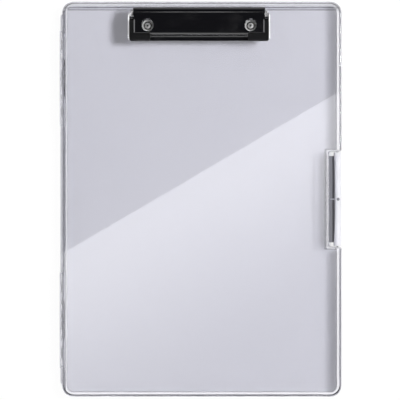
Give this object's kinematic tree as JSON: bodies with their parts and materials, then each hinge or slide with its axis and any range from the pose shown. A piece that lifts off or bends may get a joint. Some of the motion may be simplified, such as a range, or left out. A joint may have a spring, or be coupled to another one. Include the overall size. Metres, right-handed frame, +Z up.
{
  "type": "storage clipboard box",
  "caption": "Clear plastic storage clipboard: shallow tray, side-hinged writing lid with a low spring clip, and a side latch.",
  "frame": {"origin": "middle of the underside, on the surface that the box lies on", "axes": "+X from the hinge side to the latch side, +Y along the hinges towards the paper clip, +Z up from the table"},
  "size_m": [0.24, 0.336, 0.0367],
  "materials": {
    "clear_plastic": "polished clear polystyrene",
    "frosted_plastic": "whitish translucent polypropylene",
    "nickel": "nickel-plated steel",
    "black_steel": "gloss black steel",
    "spring_steel": "bright spring wire",
    "black_rubber": "matt black rubber"
  },
  "bodies": {
    "tray": {"tray": "clear_plastic", "hinge_pin_upper": "nickel", "hinge_pin_lower": "nickel", "latch_pin": "nickel"},
    "lid": {"lid": "clear_plastic", "clip_base": "nickel", "clip_pin": "nickel", "clip_spring_left": "spring_steel", "clip_spring_right": "spring_steel", "clip_rivets": "nickel", "rivet_washers": "nickel"},
    "jaw": {"clip_jaw": "black_steel", "clip_grip_left": "black_rubber", "clip_grip_right": "black_rubber"},
    "latch": {"latch": "frosted_plastic"}
  },
  "joints": [
    {"name": "lid_hinge", "type": "hinge", "parent": "tray", "child": "lid", "pos_m": [-0.1177, 0, 0.01915], "axis": [0, -1, 0], "range_deg": [0, 180]},
    {"name": "latch_hinge", "type": "hinge", "parent": "tray", "child": "latch", "pos_m": [0.1176, 0, 0.0032], "axis": [0, 1, 0], "range_deg": [0, 90]},
    {"name": "jaw_hinge", "type": "hinge", "parent": "lid", "child": "jaw", "pos_m": [-0.0011, 0.1535, 0.0308], "axis": [-1, 0, 0], "range_deg": [0, 25], "stiffness_Nm_per_rad": 0.25, "springref_deg": -34.38, "deforming": ["clip_spring_left", "clip_spring_right"]}
  ]
}
